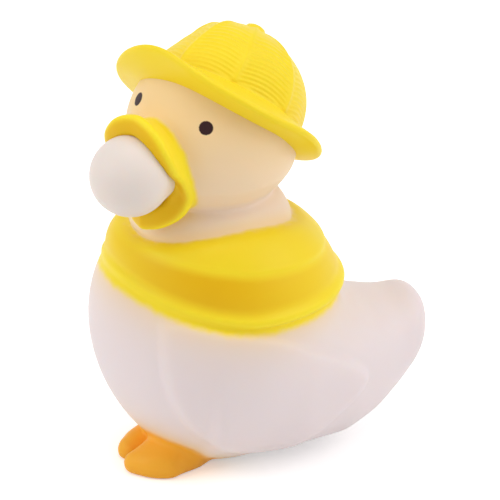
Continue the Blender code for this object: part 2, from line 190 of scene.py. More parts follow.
def closed_curve(points, steps):
    """Smooth closed line through the points."""
    dots = np.array(points, dtype=float)
    line = []
    for i in range(len(dots)):
        a, b, c, d = (dots[(i + k) % len(dots)] for k in (-1, 0, 1, 2))
        for t in np.linspace(0, 1, steps, endpoint=False):
            line.append(0.5 * (2 * b + (c - a) * t + (2 * a - 5 * b + 4 * c - d) * t ** 2
                               + (3 * b - a - 3 * c + d) * t ** 3))
    return np.array(line)


def distance_map(outline, low, high, step):
    """Signed distances to a closed line on a grid, negative inside."""
    u = np.arange(low[0], high[0], step)
    v = np.arange(low[1], high[1], step)
    gu, gv = np.meshgrid(u, v, indexing="ij")
    gap = np.full(gu.shape, 1e9)
    crossings = np.zeros(gu.shape, dtype=int)
    for (au, av), (bu, bv) in zip(outline, np.roll(outline, -1, axis=0)):
        du, dv = bu - au, bv - av
        along = np.clip(((gu - au) * du + (gv - av) * dv) / (du * du + dv * dv + 1e-12), 0, 1)
        gap = np.minimum(gap, np.hypot(gu - au - along * du, gv - av - along * dv))
        spans = (av > gv) != (bv > gv)
        meets = au + (gv - av) * du / (dv if abs(dv) > 1e-9 else 1e-9)
        crossings += spans & (gu < meets)
    signed = np.where(crossings % 2 == 1, -gap, gap)

    def read(at_u, at_v):
        fu = np.clip((at_u - low[0]) / step, 0, len(u) - 1.001)
        fv = np.clip((at_v - low[1]) / step, 0, len(v) - 1.001)
        iu, iv = fu.astype(int), fv.astype(int)
        fu, fv = fu - iu, fv - iv
        return ((signed[iu, iv] * (1 - fu) + signed[iu + 1, iv] * fu) * (1 - fv)
                + (signed[iu, iv + 1] * (1 - fu) + signed[iu + 1, iv + 1] * fu) * fv)
    return read


wing_edge = distance_map(closed_curve(WING_OUTLINE, 8), (-40, -5), (55, 95), 0.4)
print("wing outline drawn with", len(WING_OUTLINE), "points")


def body_with_wings(x, y, z):
    """Torso and tail as one form, then the wings raised on it."""
    body = smooth_min(torso(x, y, z), tail(x, y, z), 2.5)
    inside = wing_edge(y, z)
    raised = smooth_max(body - WING_RELIEF, inside, 2.4)
    raised = smooth_max(raised, WING_CLEAR_OF_MIDDLE - np.abs(x), 1.0)
    return smooth_min(body, raised, 0.5)


# %% [markdown]
# ## Feet
# Two webbed feet stand side by side under the chest and splay out. They touch along the middle. Each is
# three toes that fan out from the heel, with a web between them, which a wide fillet gives.

# %% Feet
LEFT_HEEL = (4.4, -9.5, 4.0)
LEFT_TOES = ((4.6, -20.6, 1.9), (7.6, -18.0, 1.9), (9.6, -14.8, 1.9))
RIGHT_HEEL = (-3.0, -8.0, 2.6)
RIGHT_TOES = ((-1.9, -19.2, 1.6), (-4.2, -16.6, 1.6), (-6.0, -13.2, 1.6))
LEFT_THICKNESS = 4.6
RIGHT_THICKNESS = 3.8
TOE_THICKNESS = 2.3
WEB_REACH = 5.0


def foot(x, y, z, heel, toes, thickness):
    """One foot: three toes from a thick heel, with a web between them."""
    form = None
    for toe in toes:
        rod = capsule(x, y, z, heel, toe, thickness, TOE_THICKNESS)
        form = rod if form is None else smooth_min(form, rod, WEB_REACH)
    return smooth_max(form, -z, 0.8)


def feet(x, y, z):
    """Both feet, which touch along a groove."""
    left = foot(x, y, z, LEFT_HEEL, LEFT_TOES, LEFT_THICKNESS)
    right = foot(x, y, z, RIGHT_HEEL, RIGHT_TOES, RIGHT_THICKNESS)
    return smooth_min(left, right, 0.5)


# %% [markdown]
# ## Neck, head and beak
# The head sits on a thick rolled neck. The beak is held wide open: a thick lip runs round the bladder. Its
# section is a rod from a root inside the face to the lip's crest, bent a little so that the lip flares.
# Curves over the angle round the mouth give the root, the crest, the thickness and the flare.

# %% Neck and head
TURN_COS, TURN_SIN = math.cos(HEAD_TURN), math.sin(HEAD_TURN)


def to_head(x, y, z):
    """Left, forward and up, measured from the middle of the turned head."""
    dx, dy, dz = x - HEAD_CENTRE[0], y - HEAD_CENTRE[1], z - HEAD_CENTRE[2]
    left = dx * TURN_COS + dy * TURN_SIN
    back = -dx * TURN_SIN + dy * TURN_COS
    return left, -back, dz


NECK_TOP_RADIUS = 14.6
NECK_TOP_Z = 61.8
NECK_SLOPE = 0.77


def neck_ring(x, y, z):
    """Thick roll, narrower at its top."""
    radius = np.hypot(x, y - HEAD_CENTRE[1])
    roll = rounded_disc(radius, z - NECK_Z, NECK_RADIUS, NECK_HALF_HEIGHT, 3.0)
    cone = (radius - NECK_TOP_RADIUS - (NECK_TOP_Z - z) * NECK_SLOPE) / math.hypot(1, NECK_SLOPE)
    return smooth_max(roll, cone, 2.5)


def head(x, y, z):
    """Ball, longer behind and fuller below, that stops inside the hat."""
    left, forward, up = to_head(x, y, z)
    longer = np.where(forward < 0, HEAD_BACK, 1.0)
    jowl = 1 + JOWL_FULLNESS * np.clip(-up / JOWL_DEPTH, 0, 1)
    ball = ellipsoid(left, forward, up, HEAD_RADIUS * jowl, HEAD_RADIUS * longer * jowl, HEAD_RADIUS)
    into_hat = math.cos(HAT_TILT) * (math.cos(HAT_LEAN) * up - math.sin(HAT_LEAN) * left)
    into_hat = into_hat - math.sin(HAT_TILT) * forward
    return smooth_max(ball, into_hat - HEAD_TOP, 1.5)


# %% Beak
MOUTH_DROP = 2.7
BEAK_ROOT = 9.0
lip_out = curve_through([(0, 10.9), (27, 10.3), (53, 9.2), (81, 7.9), (101, 7.9), (124, 9.1), (143, 10.6),
                         (162, 11.3), (180, 11.6)])
lip_front = curve_through([(0, 22.8), (27, 23.0), (53, 22.6), (78, 20.8), (98, 17.6), (122, 15.6),
                           (143, 17.0), (162, 19.4), (180, 20.6)])
lip_flare = curve_through([(0, 1.2), (20, 1.4), (46, 1.5), (73, 0.9), (95, 0.3), (125, 0), (180, 0)])
lip_thick = curve_through([(0, 2.4), (40, 2.3), (78, 2.2), (98, 2.2), (124, 2.4), (180, 2.5)])
root_out = curve_through([(0, 7.2), (45, 7.4), (90, 7.0), (135, 8.0), (180, 8.4)])


def round_mouth(x, y, z):
    """Angle round the mouth from its top, distance from its middle line, and place along that line."""
    left, forward, up = to_head(x, y, z)
    rise = up + MOUTH_DROP
    return np.degrees(np.arctan2(np.abs(left), rise)), np.hypot(left, rise), forward


def beak_middle(turn, forward):
    """How far out the middle of the beak's skin lies: past it is the face, short of it the mouth."""
    along = np.clip((forward - BEAK_ROOT) / (lip_front(turn) - BEAK_ROOT), 0, 1)
    straight = root_out(turn) + (lip_out(turn) - root_out(turn)) * along
    return straight - 4 * along * (1 - along) * lip_flare(turn)


def beak(x, y, z):
    """The lip with the beak behind it, worked in the plane that passes through the mouth's middle line."""
    turn, out, forward = round_mouth(x, y, z)
    ax, ay = root_out(turn), BEAK_ROOT
    bx, by = lip_out(turn) - ax, lip_front(turn) - ay
    along = np.clip(((out - ax) * bx + (forward - ay) * by) / (bx * bx + by * by), 0, 1)
    bent = out - ax - along * bx + 4 * along * (1 - along) * lip_flare(turn)
    gap = np.hypot(bent, forward - ay - along * by) - lip_thick(turn) * (0.65 + 0.35 * along)
    return smooth_max(gap, forward - lip_front(turn) - 1.3, 1.0)


BUBBLE_RADIUS = 8.9
BUBBLE_REACH = 24.7
BUBBLE_DROP = 2.9


def bubble_seat(x, y, z):
    """The room that the bladder takes up between the lips."""
    left, forward, up = to_head(x, y, z)
    return np.sqrt(left ** 2 + (forward - BUBBLE_REACH) ** 2 + (up + BUBBLE_DROP) ** 2) - BUBBLE_RADIUS + 0.25


# %% [markdown]
# ## Cape
# The cape lies on the shoulders. It swells from the neck to a rolled hem, which is higher in front. Its
# upper edge rises on the duck's left, and an upper layer like a collar ends in a low step. All of it is
# moulded in the same skin.

# %% Cape
HEM_RADIUS = 26.9
HEM_Z = 41.3
HEM_FRONT_RISE = 5.6
HEM_FRONT_TUCK = 2.0
HEM_REAR_TUCK = 1.2
HEM_ROLL = 1.25
CAPE_SHIFT = 1.6
NECKLINE_Z = 54.7
NECKLINE_SIDE_RISE = 4.0
NECKLINE_RADIUS = 17.4
NECKLINE_FRONT_REACH = 2.4
CAPE_FULLNESS = 1.70
CAPE_FULLNESS_SWING = 0.18
COLLAR_Z = 51.3
COLLAR_FRONT_RISE = 3.2
COLLAR_REAR_DROP = 2.2
COLLAR_STEP = 0.5


def neckline_height(around):
    """The cape's upper edge, which rises towards the duck's left."""
    return NECKLINE_Z + NECKLINE_SIDE_RISE * np.maximum(0.0, np.sin(around)) ** 2


def collar_height(around):
    """Where the upper layer of the cape ends."""
    front = np.maximum(0.0, np.cos(around))
    rear = np.maximum(0.0, -np.cos(around))
    return COLLAR_Z + COLLAR_FRONT_RISE * front - COLLAR_REAR_DROP * rear


def cape_forms(x, y, z):
    """Cape without its hem roll, the roll alone, and the angle round the duck from its chest."""
    around = np.arctan2(x, -y)
    front = np.maximum(0.0, np.cos(around)) ** 1.5
    rear = np.maximum(0.0, -np.cos(around))
    hem = HEM_Z + HEM_FRONT_RISE * front
    hem_radius = HEM_RADIUS - HEM_FRONT_TUCK * front - HEM_REAR_TUCK * rear
    neckline = neckline_height(around)
    neckline_radius = NECKLINE_RADIUS + NECKLINE_FRONT_REACH * front
    share = np.clip((z - hem) / (neckline - hem), 0, 1)
    radius = np.hypot(x, y - CAPE_SHIFT * (1 - share))
    fullness = CAPE_FULLNESS + CAPE_FULLNESS_SWING * np.cos(around)
    bulge = (1 - share ** fullness) ** (1 / fullness)
    outer = neckline_radius + (hem_radius - neckline_radius) * bulge
    slope = (radius - outer) * 0.82
    step = COLLAR_STEP * np.clip(0.45 - 0.55 * np.cos(around), 0.15, 1)
    collar = smooth_max(slope - step, collar_height(around) - z, 1.4)
    layer = smooth_min(slope, collar, 0.3)
    layer = smooth_max(layer, z - neckline, 0.8)
    layer = smooth_max(layer, hem - z, 0.6)
    roll = np.hypot(radius - hem_radius + 0.4, z - hem) - HEM_ROLL
    return layer, roll, around


def cape(x, y, z):
    layer, roll, around = cape_forms(x, y, z)
    return smooth_min(layer, roll, 1.2)


# %% [markdown]
# ## The whole skin
# Now the forms are joined. The reach of each fillet follows the real moulding: wide where the tail and feet
# grow out, narrow in the crease under the cape's hem and round the neck.

# %% Join the forms
def skin_field(x, y, z):
    whole = body_with_wings(x, y, z)
    whole = smooth_min(whole, feet(x, y, z), 1.5)
    whole = smooth_min(whole, cape(x, y, z), 0.5)
    upper = smooth_min(neck_ring(x, y, z), head(x, y, z), 1.4)
    turn, out, forward = round_mouth(x, y, z)
    in_mouth = np.clip(beak_middle(turn, forward) - out, 0, 1) * (forward > 8)
    upper = smooth_min(upper, beak(x, y, z), 1.0 + 3.0 * in_mouth)
    whole = smooth_min(whole, upper, 0.6)
    whole = smooth_max(whole, -bubble_seat(x, y, z), 0.5)
    return smooth_max(whole, -z, 0.3)


# %% [markdown]
# ## From field to mesh
# The field is read on a fine grid. Each cell that the surface passes through gets one point, and each grid
# edge that the surface crosses joins the four points round it into a face. The points are then moved onto
# the surface.

# %% Mesh from a field
def gradient(field, spots, reach=0.05):
    """Direction in which the field grows, at each spot."""
    slopes = []
    for axis in range(3):
        step = np.zeros(3)
        step[axis] = reach
        more, less = spots + step, spots - step
        slopes.append((field(*more.T) - field(*less.T)) / (2 * reach))
    return np.stack(slopes, axis=1)


def surface_points(value, low, step):
    """One point for each cell that the surface crosses, and the cells' numbers."""
    corners = [(i, j, k) for i in (0, 1) for j in (0, 1) for k in (0, 1)]
    n = [size - 1 for size in value.shape]
    count = sum((value[i:i + n[0], j:j + n[1], k:k + n[2]] < 0).astype(np.int8) for i, j, k in corners)
    crossed = (count > 0) & (count < 8)
    cells = np.argwhere(crossed)
    number = np.full(crossed.shape, -1, dtype=np.int64)
    number[crossed] = np.arange(len(cells))
    at = [value[tuple((cells + corner).T)] for corner in corners]
    total = np.zeros((len(cells), 3))
    hits = np.zeros(len(cells))
    for a in range(8):
        for b in range(a + 1, 8):
            if sum(p != q for p, q in zip(corners[a], corners[b])) != 1:
                continue
            cut = (at[a] < 0) != (at[b] < 0)
            share = np.where(cut, at[a] / np.where(cut, at[a] - at[b], 1), 0)
            spot = np.array(corners[a]) + share[:, None] * (np.array(corners[b]) - np.array(corners[a]))
            total += np.where(cut[:, None], spot, 0)
            hits += cut
    points = np.array(low) + (cells + total / hits[:, None]) * step
    return points, number


def surface_faces(value, number):
    """A face across each grid edge that the surface crosses, facing out."""
    faces = []
    for axis in range(3):
        ahead = [slice(None)] * 3
        behind = [slice(None)] * 3
        ahead[axis], behind[axis] = slice(1, None), slice(None, -1)
        inside_here = value[tuple(behind)] < 0
        inside_next = value[tuple(ahead)] < 0
        spots = np.argwhere(inside_here != inside_next)
        leaves = inside_here[tuple(spots.T)]
        b, c = (axis + 1) % 3, (axis + 2) % 3
        ring = []
        for back_b, back_c in ((0, 0), (1, 0), (1, 1), (0, 1)):
            cell = spots.copy()
            cell[:, b] -= back_b
            cell[:, c] -= back_c
            ring.append(number[tuple(cell.T)])
        quad = np.stack(ring, axis=1)
        quad[leaves] = quad[leaves][:, ::-1]
        faces.append(quad)
    return np.concatenate(faces)[:, ::-1]


def mesh_from_field(field, low, high, step):
    """Points in millimetres and faces of the surface where the field is zero."""
    axes = [np.arange(a, b, step) for a, b in zip(low, high)]
    value = field(*np.meshgrid(*axes, indexing="ij"))
    points, number = surface_points(value, low, step)
    faces = surface_faces(value, number)
    for repeat in range(3):
        slope = gradient(field, points)
        move = field(*points.T)[:, None] * slope / np.maximum((slope ** 2).sum(axis=1), 0.2)[:, None]
        points -= np.clip(move, -step / 2, step / 2)
    return points, faces


def new_piece(name, points, faces, material):
    """Object at the origin, with its place in its mesh; points come in millimetres."""
    mesh = bpy.data.meshes.new(name)
    mesh.from_pydata((np.asarray(points) * MM).tolist(), [], [tuple(face) for face in faces])
    mesh.materials.append(material)
    mesh.shade_smooth()
    piece = bpy.data.objects.new(name, mesh)
    bpy.context.scene.collection.objects.link(piece)
    return piece


def give_attribute(piece, name, values):
    """One number for each point of the mesh, for the material to read."""
    store = piece.data.attributes.new(name, "FLOAT", "POINT")
    store.data.foreach_set("value", np.asarray(values, dtype=np.float32))


# %% [markdown]
# ## Rubber and paint
# All finishes share one grain: soft rubber is satin, with a fine orange-peel skin. The paint is sprayed
# through masks while the toy turns, so its edges are soft and a little uneven, and thin where it drifts
# onto the bare rubber.

# %% Node helpers
def new_group(name, inputs, outputs):
    """Node group with named sockets; inputs are (name, type, value)."""
    group = bpy.data.node_groups.new(name, "ShaderNodeTree")
    for label, kind, value in inputs:
        socket = group.interface.new_socket(name=label, in_out="INPUT", socket_type=kind)
        if value is not None:
            socket.default_value = value
    for label, kind in outputs:
        group.interface.new_socket(name=label, in_out="OUTPUT", socket_type=kind)
    return group, group.nodes.new("NodeGroupInput"), group.nodes.new("NodeGroupOutput")


def put(tree, kind, **settings):
    node = tree.nodes.new(kind)
    for key, value in settings.items():
        setattr(node, key, value)
    return node


def maths(tree, operation, a, b=None):
    """Math node; a and b are sockets or numbers."""
    node = put(tree, "ShaderNodeMath", operation=operation)
    for slot, value in zip(node.inputs, (a, b)):
        if isinstance(value, bpy.types.NodeSocket):
            tree.links.new(value, slot)
        elif value is not None:
            slot.default_value = value
    return node.outputs[0]


def mix(tree, share, first, second):
    """Colour mix; each of the three is a socket or a value."""
    node = put(tree, "ShaderNodeMix", data_type="RGBA")
    for slot, value in ((node.inputs[0], share), (node.inputs[6], first), (node.inputs[7], second)):
        if isinstance(value, bpy.types.NodeSocket):
            tree.links.new(value, slot)
        else:
            slot.default_value = value
    return node.outputs[2]


def noise(tree, scale, detail, roughness=0.5):
    """Noise on Object coordinates, so that the pattern stays with the piece."""
    where = put(tree, "ShaderNodeTexCoord")
    node = put(tree, "ShaderNodeTexNoise")
    node.inputs["Scale"].default_value = scale
    node.inputs["Detail"].default_value = detail
    node.inputs["Roughness"].default_value = roughness
    tree.links.new(where.outputs["Object"], node.inputs["Vector"])
    return node.outputs["Fac"]


# %% Sprayed edge group
def build_spray_edge():
    group, start, end = new_group("spray_edge", [("Distance", "NodeSocketFloat", 0.0),
                                                 ("Softness", "NodeSocketFloat", 0.4),
                                                 ("Wander", "NodeSocketFloat", 0.5),
                                                 ("Wander Scale", "NodeSocketFloat", 500.0)],
                                  [("Mask", "NodeSocketFloat")])
    where = put(group, "ShaderNodeTexCoord")
    speckle = put(group, "ShaderNodeTexNoise")
    speckle.inputs["Detail"].default_value = 3.0
    group.links.new(where.outputs["Object"], speckle.inputs["Vector"])
    group.links.new(start.outputs["Wander Scale"], speckle.inputs["Scale"])
    centred = maths(group, "SUBTRACT", speckle.outputs["Fac"], 0.5)
    shift = maths(group, "MULTIPLY", centred, start.outputs["Wander"])
    shift = maths(group, "MULTIPLY", shift, 2.0)
    moved = maths(group, "ADD", start.outputs["Distance"], shift)
    share = maths(group, "DIVIDE", moved, start.outputs["Softness"])
    ramp = put(group, "ShaderNodeMapRange", interpolation_type="SMOOTHSTEP")
    ramp.inputs["From Min"].default_value = 1.0
    ramp.inputs["From Max"].default_value = -1.0
    group.links.new(share, ramp.inputs["Value"])
    group.links.new(ramp.outputs["Result"], end.inputs["Mask"])
    return group


def build_rubber_grain():
    group, start, end = new_group("rubber_grain", [("Roughness", "NodeSocketFloat", 0.45),
                                                   ("Depth", "NodeSocketFloat", 1.0)],
                                  [("Roughness", "NodeSocketFloat"), ("Height", "NodeSocketFloat"),
                                   ("Tone", "NodeSocketFloat")])
    fine = noise(group, 2600.0, 2.0)
    broad = noise(group, 160.0, 3.0)
    height = maths(group, "ADD", maths(group, "MULTIPLY", fine, 0.35), maths(group, "MULTIPLY", broad, 0.65))
    group.links.new(maths(group, "MULTIPLY", height, start.outputs["Depth"]), end.inputs["Height"])
    drift = maths(group, "MULTIPLY", maths(group, "SUBTRACT", broad, 0.5), 0.16)
    group.links.new(maths(group, "ADD", start.outputs["Roughness"], drift), end.inputs["Roughness"])
    group.links.new(maths(group, "MULTIPLY", maths(group, "SUBTRACT", noise(group, 60.0, 4.0), 0.5), 0.5),
                    end.inputs["Tone"])
    return group


spray_edge = build_spray_edge()
rubber_grain = build_rubber_grain()


# %% Material helpers
def new_material(name, roughness):
    material = bpy.data.materials.new(name)
    material.use_nodes = True
    tree = material.node_tree
    shader = tree.nodes["Principled BSDF"]
    grain = put(tree, "ShaderNodeGroup", node_tree=rubber_grain)
    grain.inputs["Roughness"].default_value = roughness
    bump = put(tree, "ShaderNodeBump")
    bump.inputs["Distance"].default_value = 0.00008
    bump.inputs["Strength"].default_value = 0.35
    tree.links.new(grain.outputs["Height"], bump.inputs["Height"])
    tree.links.new(bump.outputs["Normal"], shader.inputs["Normal"])
    tree.links.new(grain.outputs["Roughness"], shader.inputs["Roughness"])
    shader.inputs["Specular IOR Level"].default_value = 0.2
    return material, tree, shader, grain


def attribute(tree, name):
    node = put(tree, "ShaderNodeAttribute", attribute_name=name)
    return node.outputs["Fac"]


def sprayed(tree, name, softness, wander, scale):
    node = put(tree, "ShaderNodeGroup", node_tree=spray_edge)
    tree.links.new(attribute(tree, name), node.inputs["Distance"])
    node.inputs["Softness"].default_value = softness
    node.inputs["Wander"].default_value = wander
    node.inputs["Wander Scale"].default_value = scale
    return node.outputs["Mask"]


# %% Skin material
RUBBER_WHITE = (0.82, 0.72, 0.725, 1)
# The next colour is painted light: a glow of the nearby yellow and orange paint, reflected onto the bare
# rubber and shining through it.
RUBBER_PAINTED_WARM_GLOW = (0.94, 0.66, 0.30, 1)
PAINT_YELLOW = (0.96, 0.745, 0.025, 1)
# The next colour is painted shade on the cape and inside the beak; the hat takes an even share of it as its
# own darker tint.
YELLOW_DEEP_AND_PAINTED_SHADE = (0.82, 0.47, 0.001, 1)
PAINT_ORANGE = (1.0, 0.46, 0.035, 1)
EYE_DARK = (0.03, 0.008, 0.01, 1)
BLADDER_WHITE = (0.815, 0.72, 0.66, 1)


def skin_material():
    material, tree, shader, grain = new_material("soft_rubber_skin", 0.45)
    # Painted light: the bare rubber turns warmer near the paint, as a painted glow of the paint's light.
    colour = mix(tree, attribute(tree, "painted_warm_glow"), RUBBER_WHITE, RUBBER_PAINTED_WARM_GLOW)
    # Painted shade: the yellow darkens on the cape's lower part and inside the beak.
    yellow = mix(tree, attribute(tree, "painted_shade"), PAINT_YELLOW, YELLOW_DEEP_AND_PAINTED_SHADE)
    colour = mix(tree, sprayed(tree, "cape_paint", 0.35, 0.25, 350.0), colour, yellow)
    colour = mix(tree, sprayed(tree, "beak_paint", 0.45, 0.3, 400.0), colour, yellow)
    colour = mix(tree, sprayed(tree, "foot_paint", 0.9, 0.5, 500.0), colour, PAINT_ORANGE)
    colour = mix(tree, sprayed(tree, "eye_paint", 0.12, 0.1, 900.0), colour, EYE_DARK)
    tree.links.new(colour, shader.inputs["Base Color"])
    shader.inputs["Subsurface Weight"].default_value = 0.25
    shader.inputs["Subsurface Scale"].default_value = 0.004
    shader.inputs["Subsurface Radius"].default_value = (1.0, 0.6, 0.4)
    return material


rubber_skin = skin_material()

# %% Make the skin
SKIN_STEP = 0.6
SKIN_LOW = (-31, -36, -1.5)
SKIN_HIGH = (31, 52, 97)
skin_points, skin_faces = mesh_from_field(skin_field, SKIN_LOW, SKIN_HIGH, SKIN_STEP)
skin = new_piece("duck_skin", skin_points, skin_faces, rubber_skin)
print("skin:", len(skin_points), "points,", len(skin_faces), "faces")

# %% [markdown]
# ## Where the paint goes
# Each point of the skin stores how far it lies from each painted form. The material turns that into a
# sprayed edge. Each point also stores painted light: a glow of the nearby paint on the bare rubber, and
# painted shade on the cape and inside the beak.

# %% Paint attributes
CAPE_PAINT_REACH = 1.7
BEAK_PAINT_REACH = 0.5
FOOT_PAINT_REACH = 2.2
EYE_RADIUS = 1.55
EYE_DIRECTIONS = ((0.582, 0.675, 0.41), (-0.445, 0.735, 0.485))
SHADED_TURN = 65
SHADED_SPREAD = 45


def ramp(value, start, stop):
    """0 at start, 1 at stop, straight between."""
    return np.clip((value - start) / (stop - start), 0, 1)


px, py, pz = skin_points.T
cape_gap = cape(px, py, pz)
beak_gap = beak(px, py, pz)
foot_gap = feet(px, py, pz)
around = np.arctan2(px, -py)
front = np.maximum(0.0, np.cos(around))
above_hem = pz - HEM_Z - HEM_FRONT_RISE * front ** 1.5
above_neckline = np.maximum(pz - neckline_height(around) - 0.2, 0.45 - beak_gap)
below_hem = (cape_gap - CAPE_PAINT_REACH) * 0.35
give_attribute(skin, "cape_paint", np.where(above_hem > 0, above_neckline, below_hem))
turn, out, along_mouth = round_mouth(px, py, pz)
in_mouth = (out < beak_middle(turn, along_mouth)) & (along_mouth > 10)
give_attribute(skin, "beak_paint", np.where(in_mouth, -1.0, beak_gap - BEAK_PAINT_REACH))
give_attribute(skin, "foot_paint", (foot_gap - FOOT_PAINT_REACH) * 0.5)

left, forward, up = to_head(px, py, pz)
eye_gap = np.full(len(px), 99.0)
for eye in EYE_DIRECTIONS:
    direction = np.array(eye) / np.linalg.norm(eye)
    across, ahead, above = direction * HEAD_RADIUS
    gap = np.sqrt((left - across) ** 2 + (forward - ahead) ** 2 + (up - above) ** 2)
    eye_gap = np.minimum(eye_gap, gap)
give_attribute(skin, "eye_paint", eye_gap - EYE_RADIUS)

# Painted glow of the nearby paint: on the face under the hat, low on the neck, and near the feet, beak and
# cape.
head_gap = head(px, py, pz)
on_face = ramp(head_gap, 3.0, 0.5) * ramp(pz, 61, 65)
painted_warm_glow = on_face * (0.55 + 0.35 * ramp(pz, 66, 86))
painted_warm_glow = np.maximum(painted_warm_glow, 0.42 * ramp(pz, 53, 56))
painted_warm_glow = np.maximum(painted_warm_glow, 0.95 * np.exp(-np.maximum(foot_gap - 2, 0) / 4))
painted_warm_glow = np.maximum(painted_warm_glow, 0.9 * np.exp(-np.maximum(beak_gap, 0) / 3))
painted_warm_glow = np.maximum(painted_warm_glow, 0.75 * np.exp(-np.maximum(cape_gap - 1, 0) / 4))
give_attribute(skin, "painted_warm_glow", painted_warm_glow)

# Painted shade: on the inner side and front face of the lip, and on the cape below its collar step, darkest
# round the side that faces the camera.
front_face = ramp(along_mouth, lip_front(turn) + 0.9, lip_front(turn) + 1.3)
beak_painted_shade = np.maximum(ramp(lip_out(turn) - out, 0.2, 1.8), front_face) * ((beak_gap < 1) | in_mouth)
collar_edge = collar_height(around)
lower_layer_shade = ramp(above_hem, 0.8, 3.5) * ramp(pz, collar_edge + 0.6, collar_edge - 1.2)
lower_layer_shade *= 0.35 + 0.65 * np.exp(-((np.degrees(around) - SHADED_TURN) / SHADED_SPREAD) ** 2)
cape_painted_shade = (0.05 + 0.15 * ramp(pz, collar_edge, collar_edge + 2) + 0.9 * lower_layer_shade) * (beak_gap > 1)
give_attribute(skin, "painted_shade", np.maximum(beak_painted_shade * 0.8, cape_painted_shade))
print("paint reaches:", sorted(store.name for store in skin.data.attributes if store.data_type == "FLOAT"))

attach(skin, "root")
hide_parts("duck_body")

# %% [markdown]
# ## Hat
# The hat is moulded with the head, but it is nearly a turned form, so it is made as one: a profile turned
# about the hat's own axis, then bent. The dome is ribbed like straw between its raised seams.

# %% Hat profile
HAT_RADIUS = 17.7
DOME_BASE = 7.6
DOME_HEIGHT = 16.1
DOME_FULLNESS = 2.12
BRIM_RADIUS = 24.2
BRIM_Z = 4.2
BRIM_EDGE = 0.8
BRIM_ROOT_RADIUS = 15.1
BRIM_ROOT_Z = 2.2
BRIM_FILLET = 0.8
SEAM_COUNT = 8.0


def hat_profile(rows):
    """(radius, height) from the top of the button to the underside, in millimetres."""
    crown = DOME_BASE + DOME_HEIGHT
    line = [(0, crown + 1.4), (1.2, crown + 1.35), (2.0, crown + 1.0), (2.4, crown + 0.4)]
    for i in range(rows):
        turn = math.radians(8 + 82 * i / (rows - 1))
        across = abs(math.sin(turn)) ** (2 / DOME_FULLNESS)
        high = abs(math.cos(turn)) ** (2 / DOME_FULLNESS)
        line.append((HAT_RADIUS * across, DOME_BASE + DOME_HEIGHT * high))
    for i in range(1, 7):
        turn = math.radians(90 * i / 7)
        line.append((HAT_RADIUS + BRIM_FILLET * (1 - math.cos(turn)), DOME_BASE - 0.5 * math.sin(turn)))
    for i in range(1, 12):
        share = i / 12
        line.append((HAT_RADIUS + BRIM_FILLET + (BRIM_RADIUS - 1.4 - HAT_RADIUS) * share,
                     DOME_BASE - 0.5 - (DOME_BASE - 0.5 - BRIM_Z - BRIM_EDGE) * share))
    for i in range(9):
        turn = math.radians(80 - 160 * i / 8)
        across = BRIM_RADIUS - BRIM_EDGE + BRIM_EDGE * math.cos(turn)
        line.append((across, BRIM_Z + BRIM_EDGE * math.sin(turn)))
    for i in range(1, 9):
        share = i / 8
        line.append((BRIM_RADIUS - BRIM_EDGE - (BRIM_RADIUS - BRIM_EDGE - BRIM_ROOT_RADIUS) * share,
                     BRIM_Z - BRIM_EDGE - (BRIM_Z - BRIM_EDGE - BRIM_ROOT_Z) * share))
    line.append((0, BRIM_ROOT_Z))
    return line


def turned_grid(profile, columns):
    """Points and faces of a profile turned about the Z axis, closed at both poles."""
    points = [(0, 0, profile[0][1])]
    for radius, height in profile[1:-1]:
        for i in range(columns):
            turn = 2 * math.pi * i / columns
            points.append((radius * math.sin(turn), -radius * math.cos(turn), height))
    points.append((0, 0, profile[-1][1]))
    rows = len(profile) - 2
    faces = [(0, 1 + i, 1 + (i + 1) % columns) for i in range(columns)]
    for row in range(rows - 1):
        for i in range(columns):
            a = 1 + row * columns + i
            b = 1 + row * columns + (i + 1) % columns
            faces.append((a, a + columns, b + columns, b))
    last = 1 + (rows - 1) * columns
    faces += [(last + i, len(points) - 1, last + (i + 1) % columns) for i in range(columns)]
    return points, faces


# %% Hat material
def paint_material(name):
    material, tree, shader, grain = new_material(name, 0.42)
    # An even share of the darker yellow over the whole hat: its own tint, not shade.
    yellow = mix(tree, 0.12, PAINT_YELLOW, YELLOW_DEEP_AND_PAINTED_SHADE)
    tree.links.new(yellow, shader.inputs["Base Color"])
    shader.inputs["Subsurface Weight"].default_value = 0.1
    shader.inputs["Subsurface Scale"].default_value = 0.002
    shader.inputs["Subsurface Radius"].default_value = (1.0, 0.5, 0.1)
    return material


hat_paint = paint_material("hat_yellow")

